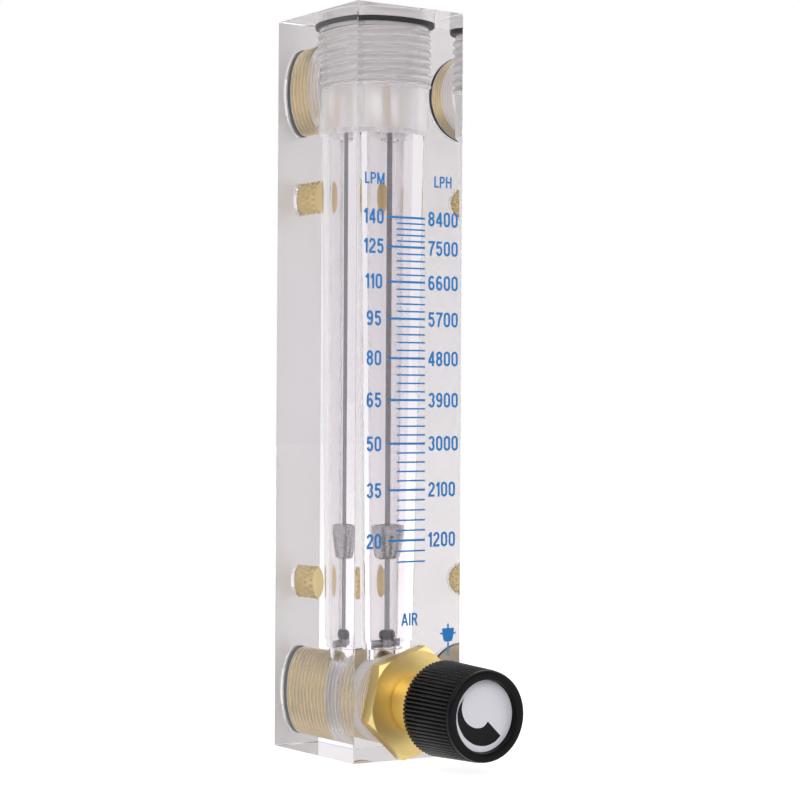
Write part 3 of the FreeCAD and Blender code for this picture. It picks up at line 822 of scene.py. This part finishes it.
class FLOWMETER_OT_bonnet(PieceOperator, bpy.types.Operator):
    """Brass valve bonnet: threaded shank, bevelled hexagon and round neck"""

    bl_idname = "flow_meter.bonnet"
    bl_label = "Valve bonnet"

    def build(self, sizes):
        """Shank and neck in one turning, the hexagon met by its cone, and the stem bore."""
        low, high = limits("valve_bonnet")
        shank_end = -high.y
        neck_end = -low.y
        face = -FRONT
        hex_face = face + 3.5
        half_flats = 11.0
        corner = half_flats / math.cos(math.pi / 6)
        neck = 6.6
        major = PORT_MINOR + sizes.port_thread_depth - sizes.thread_play
        minor = PORT_MINOR - sizes.thread_play
        turning = spun(
            (
                (5.0, shank_end),
                (major - 0.7, shank_end),
                (major, shank_end + 0.7),
                (major, face + 0.2),
                (neck - 0.25, face + 0.2),
                (neck - 0.25, hex_face + 0.35),
                (neck, hex_face + 0.6),
                (neck, neck_end - 0.3),
                (neck - 0.3, neck_end),
                (3.05, neck_end),
                (3.05, 21.0),
                (4.05, 21.0),
                (4.05, 10.5),
                (5.0, 10.5),
            ),
            steps=160,
            closed=True,
        )
        cone = spun(
            (
                (5.5, face),
                (corner - 0.35, face),
                (corner + 0.2, face + 0.3),
                (corner + 0.2, hex_face - 0.78),
                (half_flats + 0.55, hex_face),
                (5.5, hex_face),
            ),
            steps=160,
            closed=True,
        )
        nut = bmesh.new()
        bmesh.ops.create_circle(nut, cap_ends=True, segments=6, radius=corner)
        bmesh.ops.rotate(nut, verts=nut.verts, matrix=Matrix.Rotation(math.radians(17 - 90), 3, "Z"))
        bmesh.ops.translate(nut, verts=nut.verts, vec=(0, 0, face - 1))
        top = bmesh.ops.extrude_face_region(nut, geom=nut.faces[:])
        raised = [item for item in top["geom"] if isinstance(item, bmesh.types.BMVert)]
        bmesh.ops.translate(nut, verts=raised, vec=(0, 0, 6))
        bmesh.ops.recalc_face_normals(nut, faces=nut.faces)
        place = facing_front(INLET_Z)
        hexagon = as_object("hexagon", nut, place)
        combine(hexagon, ("INTERSECT", as_object("cone", cone, place)))
        shank = thread(minor, major, sizes.port_pitch, shank_end - OVER_CUT, neck_end + OVER_CUT, 128)
        bonnet = as_object("brass_bonnet", shank, place)
        combine(
            bonnet,
            ("INTERSECT", as_object("turning", turning, place)),
            ("UNION", hexagon),
        )
        finish_piece(bonnet, "meter", finish_of("brass"), ["valve_bonnet"], crease=20)


class FLOWMETER_OT_knob(PieceOperator, bpy.types.Operator):
    """Ribbed knob with its dished front, and the printed disc in it"""

    bl_idname = "flow_meter.knob"
    bl_label = "Knob and dial"

    ribs = 70
    points_per_rib = 6

    def build(self, sizes):
        """Rings drawn out one after another along the knob, the flutes fading at both ends."""
        low, high = limits("knob")
        radius = (high.x - low.x) / 2
        back, front = -high.y, -low.y
        rib_end = front - 1.1
        slim = radius - 0.55
        rim = slim - 0.16
        hollow = 7.2
        face = limits("knob_disc")
        floor = -face[1].y
        face_radius = (face[1].x - face[0].x) / 2 + 0.05
        depth = sizes.rib_depth
        stations = (
            (back + 0.25, radius - 0.55, 0.0),
            (back, radius - 0.4, 0.3 * depth),
            (back, radius - 0.15, 0.8 * depth),
            (back + 0.15, radius, depth),
            (rib_end - 0.5, slim, depth),
            (rib_end - 0.15, slim - 0.04, 0.8 * depth),
            (rib_end, slim - 0.12, 0.35 * depth),
            (rib_end + 0.02, rim, 0.0),
            (front - 0.45, rim, 0.0),
            (front - 0.2, rim - 0.07, 0.0),
            (front - 0.05, rim - 0.22, 0.0),
            (front, rim - 0.45, 0.0),
            (front, face_radius + 0.3, 0.0),
            (front - 0.08, face_radius + 0.08, 0.0),
            (front - 0.25, face_radius, 0.0),
            (floor, face_radius, 0.0),
            (floor, 3.6, 0.0),
            (floor - 3.0, 3.6, 0.0),
            (floor - 3.0, 3.02, 0.0),
            (32.7, 3.02, 0.0),
            (32.7, hollow, 0.0),
            (back + 0.25, hollow, 0.0),
        )
        bm = bmesh.new()
        count = self.ribs * self.points_per_rib
        ring = bmesh.ops.create_circle(bm, cap_ends=False, segments=count, radius=1)["verts"]
        self.set_ring(ring, stations[0])
        edges = bm.edges[:]
        first = edges
        for station in stations[1:]:
            drawn = bmesh.ops.extrude_edge_only(bm, edges=edges)["geom"]
            self.set_ring([item for item in drawn if isinstance(item, bmesh.types.BMVert)], station)
            edges = [item for item in drawn if isinstance(item, bmesh.types.BMEdge) and item.is_boundary]
        bmesh.ops.bridge_loops(bm, edges=first + edges)
        bmesh.ops.recalc_face_normals(bm, faces=bm.faces)
        knob = as_object("ribbed_knob", bm, facing_front(INLET_Z))
        finish_piece(knob, "spindle", finish_of("knob"), ["knob"], crease=40)
        self.dial(face)

    def set_ring(self, points, station):
        """Puts a ring's points at a station: its height, radius and flute depth."""
        height, radius, depth = station
        for point in points:
            turn = math.atan2(point.co.y, point.co.x)
            wave = abs(math.sin(turn * self.ribs / 2))
            reach = radius - depth * (1 - wave ** 0.7)
            point.co = (reach * math.cos(turn), reach * math.sin(turn), height)

    def dial(self, face):
        """Disc with a thin edge, and the printed crescent that widens clockwise from its tip."""
        low, high = face
        radius = (high.x - low.x) / 2
        top = -low.y
        outline = ((0, -high.y), (radius, -high.y), (radius, top - 0.1), (radius - 0.1, top), (0, top))
        disc = as_object("dial_disc", spun(outline, 128), facing_front(INLET_Z))
        finish_piece(disc, "spindle", finish_of("dial"), ["knob_disc"])
        mark = as_object("dial_crescent", self.crescent(top), facing_front(INLET_Z))
        finish_piece(mark, "spindle", finish_of("dial_ink"))

    def crescent(self, top):
        """Filled outline from the tip along its outer side and back along its inner one."""
        rim = ((137, 6.4), (163, 6.52), (181, 6.48), (205, 6.28), (232, 6.2), (265, 6.28), (296, 6.42), (316, 6.4))
        inside = ((316, 1.8), (276, 2.23), (240, 2.85), (213, 3.61), (194, 4.36), (182, 4.86), (164, 5.59), (149, 6.08))
        curve = bpy.data.curves.new("crescent", "CURVE")
        curve.dimensions = "2D"
        curve.fill_mode = "BOTH"
        curve.resolution_u = 8
        curve.extrude = 0.01
        spline = curve.splines.new("BEZIER")
        corners = rim + inside
        spline.bezier_points.add(len(corners) - 1)
        spline.use_cyclic_u = True
        for point, (turn, reach) in zip(spline.bezier_points, corners):
            point.co = (reach * math.cos(math.radians(turn)), reach * math.sin(math.radians(turn)), 0)
            sharp = turn in (137, 316)
            point.handle_left_type = "VECTOR" if sharp else "AUTO"
            point.handle_right_type = "VECTOR" if sharp else "AUTO"
        holder = bpy.data.objects.new("crescent", curve)
        solid = bpy.data.meshes.new_from_object(holder)
        bpy.data.objects.remove(holder)
        solid.transform(Matrix.Translation((0, 0, top + 0.01)))
        bm = bmesh.new()
        bm.from_mesh(solid)
        bmesh.ops.remove_doubles(bm, verts=bm.verts, dist=WELD)
        return bm


MARK_VALUES = (20, 35, 50, 65, 80, 95, 110, 125, 140)
MARK_HEIGHTS = (48.2, 59.3, 69.5, 79.1, 88.3, 97.0, 105.1, 112.8, 119.3)
HOURLY_VALUES = (1200, 2100, 3000, 3900, 4800, 5700, 6600, 7500, 8400)


UNIT_HEIGHT = 2.55
STROKE = 0.16


def bend(middle, radii, start, end, steps=14):
    """Points along part of an ellipse, by its middle, half width and height, and degrees."""
    turns = [math.radians(start + (end - start) * step / steps) for step in range(steps + 1)]
    return [(middle[0] + radii[0] * math.cos(turn), middle[1] + radii[1] * math.sin(turn)) for turn in turns]


# Each letter: its width and its strokes' middle lines, in parts of its height; True closes a stroke.
LEFT = STROKE / 2
RIGHT = 0.53 - STROKE / 2
LOW = STROKE / 2
TOP = 1 - STROKE / 2
MID = (LEFT + RIGHT) / 2
ROUND = (RIGHT - LEFT) / 2
GLYPHS = {
    "0": (0.53, [(True, bend((MID, 0.73), (ROUND, 0.2), 0, 180) + bend((MID, 0.27), (ROUND, 0.2), 180, 360))]),
    "1": (
        0.29,
        [(False, [(0.215, 0), (0.215, 1)]), (False, [(0.0, 0.76), (0.09, 0.78), (0.16, 0.85), (0.18, 0.97)])],
    ),
    "2": (
        0.53,
        [(False, bend((MID, 0.7), (ROUND, 0.23), 175, -25) + [(0.3, 0.42), (0.1, 0.2), (LEFT, LOW), (0.52, LOW)])],
    ),
    "3": (
        0.53,
        [
            (False, bend((MID, 0.73), (ROUND - 0.01, 0.2), 165, -80)),
            (False, bend((MID, 0.3), (ROUND, 0.23), 80, -170)),
        ],
    ),
    "4": (
        0.53,
        [
            (False, [(0.375, 0), (0.375, 1)]),
            (False, [(0.375, 0.96), (0.06, 0.28)]),
            (False, [(0.02, 0.28), (0.53, 0.28)]),
        ],
    ),
    "5": (
        0.53,
        [(False, [(0.49, TOP), (0.13, TOP), (0.095, 0.5)]), (False, bend((MID, 0.34), (ROUND, 0.27), 140, -165))],
    ),
    "6": (
        0.53,
        [
            (True, bend((MID, 0.31), (ROUND, 0.24), 0, 345)),
            (False, bend((MID + 0.01, 0.63), (ROUND, 0.3), 35, 180) + [(LEFT, 0.35)]),
        ],
    ),
    "7": (0.53, [(False, [(0.02, TOP), (0.48, TOP), (0.36, 0.68), (0.25, 0.38), (0.19, 0)])]),
    "8": (
        0.53,
        [
            (True, bend((MID, 0.73), (ROUND - 0.015, 0.195), 0, 345)),
            (True, bend((MID, 0.3), (ROUND, 0.23), 0, 345)),
        ],
    ),
    "9": (
        0.53,
        [
            (True, bend((MID, 0.69), (ROUND, 0.24), 0, 345)),
            (False, bend((MID - 0.01, 0.37), (ROUND, 0.3), -145, 0) + [(RIGHT, 0.65)]),
        ],
    ),
    "A": (
        0.6,
        [
            (False, [(0.05, 0), (0.3, 1)]),
            (False, [(0.55, 0), (0.3, 1)]),
            (False, [(0.13, 0.3), (0.47, 0.3)]),
        ],
    ),
    "H": (
        0.6,
        [(False, [(LEFT, 0), (LEFT, 1)]), (False, [(0.53, 0), (0.53, 1)]), (False, [(LEFT, 0.53), (0.53, 0.53)])],
    ),
    "I": (0.15, [(False, [(LEFT, 0), (LEFT, 1)])]),
    "L": (0.46, [(False, [(LEFT, 1), (LEFT, LOW), (0.46, LOW)])]),
    "M": (
        0.76,
        [
            (False, [(LEFT, 0), (LEFT, 1)]),
            (False, [(LEFT, 1), (0.38, 0.02)]),
            (False, [(0.76 - LEFT, 1), (0.38, 0.02)]),
            (False, [(0.76 - LEFT, 0), (0.76 - LEFT, 1)]),
        ],
    ),
    "P": (
        0.55,
        [(False, [(LEFT, 0), (LEFT, 1)]), (False, [(LEFT, TOP), *bend((0.26, 0.7), (0.22, 0.228), 90, -90), (LEFT, 0.472)])],
    ),
    "R": (
        0.57,
        [
            (False, [(LEFT, 0), (LEFT, 1)]),
            (False, [(LEFT, TOP), *bend((0.26, 0.72), (0.22, 0.208), 90, -90), (LEFT, 0.512)]),
            (False, [(0.3, 0.5), (0.5, 0)]),
        ],
    ),
}


class FLOWMETER_OT_scale(PieceOperator, bpy.types.Operator):
    """Printed scale: marks, figures, units and the float sign"""

    bl_idname = "flow_meter.scale"
    bl_label = "Printed scale"

    def build(self, sizes):
        """Everything printed is one thin film on the front face."""
        self.film = sizes.print_film
        place = Matrix.Translation((0, 0, 0)) @ facing_front(0)
        place = place @ Matrix.Translation((-0.02, 84, -FRONT)) @ Matrix.Rotation(math.radians(0.4), 4, "Z")
        place = place @ Matrix.Translation((0, -84, 0))
        marks = as_object("scale_marks", self.marks(sizes), place)
        finish_piece(marks, "meter", finish_of("scale_ink"))
        sign = as_object("float_sign", self.float_sign(), place)
        finish_piece(sign, "meter", finish_of("scale_ink"))
        words = [
            ("LPM", -9.05, 127.6, UNIT_HEIGHT, 0.5),
            ("LPH", 9.0, 127.6, UNIT_HEIGHT, 0.5),
            ("AIR", 0.05, 30.8, 2.75, 0.5),
        ]
        for value, hourly, height in zip(MARK_VALUES, HOURLY_VALUES, MARK_HEIGHTS):
            words.append((str(value), -9.3, height, sizes.digit_height, 0.5))
            words.append((str(hourly), 5.05, height, sizes.digit_height, 0))
        bm = bmesh.new()
        for word in words:
            self.write(bm, *word)
        bmesh.ops.recalc_face_normals(bm, faces=bm.faces)
        figures = as_object("scale_figures", bm, place)
        finish_piece(figures, "meter", finish_of("scale_ink"))

    def marks(self, sizes):
        """Long marks at the figures, four short ones between them and two below."""
        bm = bmesh.new()
        left, short_left, right = -5.6, -3.3, 4.15
        heights = []
        for low, high in zip(MARK_HEIGHTS, MARK_HEIGHTS[1:]):
            heights += [low + (high - low) * step / 5 for step in range(1, 5)]
        heights += [MARK_HEIGHTS[0] - 2.35 * step for step in (1, 2)]
        lines = [(left, height, sizes.long_mark) for height in MARK_HEIGHTS]
        lines += [(short_left, height, sizes.short_mark) for height in heights]
        for start, height, width in lines:
            self.bar(bm, (start, height - width / 2), (right, height + width / 2))
        return bm

    def bar(self, bm, low, high):
        """One flat rectangle of ink."""
        made = bmesh.ops.create_cube(bm, size=1)["verts"]
        bmesh.ops.scale(bm, verts=made, vec=(high[0] - low[0], high[1] - low[1], self.film))
        middle = ((high[0] + low[0]) / 2, (high[1] + low[1]) / 2, self.film)
        bmesh.ops.translate(bm, verts=made, vec=middle)

    def float_sign(self):
        """Small picture of the float on its rod."""
        bm = bmesh.new()
        middle = 10.35
        self.bar(bm, (middle - 0.2, 22.3), (middle + 0.2, 29.35))
        self.bar(bm, (middle - 2.1, 27.0), (middle + 2.1, 27.4))
        outline = ((-1.6, 28.35), (1.6, 28.35), (1.35, 26.2), (1.15, 25.65), (0.8, 25.35), (-0.8, 25.35))
        outline += ((-1.15, 25.65), (-1.35, 26.2))
        base = bm.faces.new([bm.verts.new((middle + across, up, self.film * 0.6)) for across, up in outline])
        drawn = bmesh.ops.extrude_face_region(bm, geom=[base])["geom"]
        raised = [item for item in drawn if isinstance(item, bmesh.types.BMVert)]
        bmesh.ops.translate(bm, verts=raised, vec=(0, 0, self.film))
        bmesh.ops.recalc_face_normals(bm, faces=bm.faces)
        return bm

    def write(self, bm, text, across, up, tall, align):
        """Adds a word as ribbons of ink; align is 0 at its left end, 0.5 in its middle."""
        gap = 0.11
        width = sum(GLYPHS[letter][0] for letter in text) + gap * (len(text) - 1)
        start = across - width * align * tall
        for letter in text:
            advance, strokes = GLYPHS[letter]
            for number, (closed, points) in enumerate(strokes):
                placed = [(start + right * tall, up + (top - 0.5) * tall) for right, top in points]
                self.ribbon(bm, placed, closed, STROKE * tall, number * 0.003)
            start += (advance + gap) * tall

    def ribbon(self, bm, points, closed, width, lift):
        """A flat band of ink through the points, mitred at its bends; lift keeps crossing bands apart."""
        places = [Vector((*point, self.film * 0.5)) for point in points]
        rows = []
        for index, place in enumerate(places):
            first, last = index == 0 and not closed, index == len(places) - 1 and not closed
            arriving = (places[index + 1] - place if first else place - places[index - 1]).normalized()
            leaving = (arriving if last else places[(index + 1) % len(places)] - place).normalized()
            along = (arriving + leaving).normalized()
            reach = width / 2 / max(0.5, along.dot(leaving))
            side = Vector((-along.y, along.x, 0)) * reach
            rows.append((bm.verts.new(place - side), bm.verts.new(place + side)))
        following = rows[1:] + rows[:1] if closed else rows[1:]
        faces = [bm.faces.new((a[0], b[0], b[1], a[1])) for a, b in zip(rows, following)]
        drawn = bmesh.ops.extrude_face_region(bm, geom=faces)["geom"]
        raised = [item for item in drawn if isinstance(item, bmesh.types.BMVert)]
        bmesh.ops.translate(bm, verts=raised, vec=(0, 0, self.film + lift))


class FLOWMETER_OT_inner_parts(PieceOperator, bpy.types.Operator):
    """Finishes for the frame nodes that stay as they are"""

    bl_idname = "flow_meter.inner_parts"
    bl_label = "Inner parts"

    def build(self, sizes):
        """Assigns each kept node's finish."""
        kept = {
            "rod_bridge": "stainless",
            "disc_holder": "brass",
            "seat_washer": "rubber",
            "washer_screw": "stainless",
            "spindle": "stainless",
            "stem_seal": "rubber",
            "knob_screw": "stainless",
        }
        for node, kind in kept.items():
            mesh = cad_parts[node].data
            mesh.materials.clear()
            mesh.materials.append(finish_of(kind))


class FLOWMETER_OT_stage(PieceOperator, bpy.types.Operator):
    """White floor, soft lamps and the camera"""

    bl_idname = "flow_meter.stage"
    bl_label = "Stage"

    def build(self, sizes):
        """Floor, world, lamps and camera."""
        self.floor()
        self.world()
        self.lamp("key_panel", (-0.55, -0.75, 0.75), 0.6, 6.0)
        self.lamp("top_panel", (0.05, 0.05, 0.95), 0.8, 5.0)
        self.lamp("side_panel", (0.8, -0.5, 0.35), 0.5, 3.0)
        self.camera()

    def floor(self):
        """Wide matt sheet; its own faint glow lifts it to white for the lens and in reflections."""
        bm = bmesh.new()
        bmesh.ops.create_grid(bm, x_segments=1, y_segments=1, size=6000)
        bmesh.ops.translate(bm, verts=bm.verts, vec=(0, 0, BLOCK_LOW.z - 0.02))
        sheet = as_object("studio_floor", bm)
        finish = new_finish("matt_paper_sheet")
        tree = finish.node_tree
        matt = add_node(tree, "ShaderNodeBsdfDiffuse", {"Color": opaque("#AAAAAA")})
        glow = add_node(
            tree,
            "ShaderNodeEmission",
            {"Color": (1, 1, 1, 1)},
            {"Strength": self.seen(tree, 0.85)},
        )
        both = add_node(tree, "ShaderNodeAddShader", links={0: matt.outputs[0], 1: glow.outputs[0]})
        close_finish(finish, both)
        sheet.data.materials.append(finish)

    def seen(self, tree, strength):
        """Strength for rays that reach the lens directly, mirrored or through glass, and none for others."""
        path = add_node(tree, "ShaderNodeLightPath")
        first = add_node(
            tree,
            "ShaderNodeMath",
            links={0: path.outputs["Is Camera Ray"], 1: path.outputs["Is Glossy Ray"]},
            operation="MAXIMUM",
        )
        either = add_node(
            tree,
            "ShaderNodeMath",
            links={0: first.outputs[0], 1: path.outputs["Is Transmission Ray"]},
            operation="MAXIMUM",
        )
        scaled = add_node(
            tree, "ShaderNodeMath", {1: strength}, {0: either.outputs[0]}, operation="MULTIPLY"
        )
        return scaled.outputs[0]

    def world(self):
        """White behind and above; mirrors and glass see a dimmer room on the lens's side."""
        world = bpy.data.worlds.new("white_surround")
        world.use_nodes = True
        tree = world.node_tree
        tree.nodes.clear()
        base = 0.55
        around = add_node(tree, "ShaderNodeTexCoord").outputs["Generated"]
        parts = add_node(tree, "ShaderNodeSeparateXYZ", links={0: around}).outputs
        behind = self.rising(tree, parts["Y"], -0.6, 0.2, 0.45, 1.0)
        above = self.rising(tree, parts["Z"], 0.35, 0.8, 0.45, 1.0)
        room = add_node(tree, "ShaderNodeMath", links={0: behind, 1: above}, operation="MAXIMUM")
        path = add_node(tree, "ShaderNodeLightPath").outputs
        through = add_node(
            tree,
            "ShaderNodeMath",
            {1: 1.0},
            {0: path["Is Transmission Ray"]},
            operation="MULTIPLY",
        )
        lit = add_node(
            tree,
            "ShaderNodeMath",
            links={0: room.outputs[0], 1: through.outputs[0]},
            operation="MAXIMUM",
        )
        view = add_node(
            tree,
            "ShaderNodeMath",
            links={0: lit.outputs[0], 1: path["Is Camera Ray"]},
            operation="MAXIMUM",
        )
        mixed = add_node(
            tree,
            "ShaderNodeMix",
            {2: base},
            {0: self.seen(tree, 1.0), 3: view.outputs[0]},
            data_type="FLOAT",
        )
        sky = add_node(
            tree,
            "ShaderNodeBackground",
            {"Color": (1, 1, 1, 1)},
            {"Strength": mixed.outputs[0]},
        )
        add_node(tree, "ShaderNodeOutputWorld", links={"Surface": sky.outputs[0]})
        bpy.context.scene.world = world

    def rising(self, tree, source, start, end, low, high):
        """Maps a direction's part from low at start to high at end, smoothly."""
        made = add_node(
            tree,
            "ShaderNodeMapRange",
            {"From Min": start, "From Max": end, "To Min": low, "To Max": high},
            {"Value": source},
            interpolation_type="SMOOTHSTEP",
        )
        return made.outputs[0]

    def lamp(self, name, place, size, watts):
        """A square soft panel aimed at the middle of the meter."""
        light = bpy.data.lights.new(name, "AREA")
        light.shape = "SQUARE"
        light.size = size
        light.energy = watts
        panel = bpy.data.objects.new(name, light)
        panel.location = place
        aim = Vector((0, 0, 0.08)) - Vector(place)
        panel.rotation_euler = aim.to_track_quat("-Z", "Y").to_euler()
        panel.visible_transmission = False
        bpy.context.scene.collection.objects.link(panel)

    def camera(self):
        """Long lens a little left of the front edge, nearly level."""
        lens = bpy.data.cameras.new("camera")
        lens.lens = 102.445
        lens.sensor_width = 36
        lens.clip_start = 0.01
        camera = bpy.data.objects.new("camera", lens)
        turned = Matrix.Rotation(math.radians(-33.482), 4, "Z") @ Matrix.Rotation(math.radians(90.562), 4, "X")
        turned = turned @ Matrix.Rotation(math.radians(0.327), 4, "Z")
        camera.matrix_world = Matrix.Translation((-0.278563, -0.431459, 0.074186)) @ turned
        bpy.context.scene.collection.objects.link(camera)
        bpy.context.scene.camera = camera
        bpy.context.scene.view_settings.view_transform = "Standard"


OPERATORS = (
    FLOWMETER_OT_block,
    FLOWMETER_OT_plug,
    FLOWMETER_OT_ports,
    FLOWMETER_OT_seals,
    FLOWMETER_OT_inserts,
    FLOWMETER_OT_float,
    FLOWMETER_OT_rod,
    FLOWMETER_OT_bonnet,
    FLOWMETER_OT_knob,
    FLOWMETER_OT_scale,
    FLOWMETER_OT_inner_parts,
    FLOWMETER_OT_stage,
)


class VIEW3D_PT_flow_meter(bpy.types.Panel):
    """Sidebar panel with the meter's sizes, colours and pieces."""

    bl_label = "Flow meter"
    bl_space_type = "VIEW_3D"
    bl_region_type = "UI"
    bl_category = "Flow Meter"

    def draw(self, context):
        """Lists the properties and one button for each operator."""
        column = self.layout.column()
        for group in (context.scene.flow_meter_sizes, context.scene.flow_meter_colours):
            for name in group.bl_rna.properties.keys():
                if name not in ("rna_type", "name"):
                    column.prop(group, name)
        for operator in OPERATORS:
            column.operator(operator.bl_idname)


CLASSES = (FlowMeterSizes, FlowMeterColours, *OPERATORS, VIEW3D_PT_flow_meter)


def register():
    """Registers the classes and hangs the properties on the scene."""
    for item in CLASSES:
        bpy.utils.register_class(item)
    bpy.types.Scene.flow_meter_sizes = bpy.props.PointerProperty(type=FlowMeterSizes)
    bpy.types.Scene.flow_meter_colours = bpy.props.PointerProperty(type=FlowMeterColours)


def unregister():
    """Takes the properties and classes away again."""
    del bpy.types.Scene.flow_meter_colours
    del bpy.types.Scene.flow_meter_sizes
    for item in reversed(CLASSES):
        bpy.utils.unregister_class(item)


def main():
    """Builds every piece in order."""
    register()
    for operator in OPERATORS:
        family, name = operator.bl_idname.split(".")
        getattr(getattr(bpy.ops, family), name)()


if __name__ == "__main__":
    main()
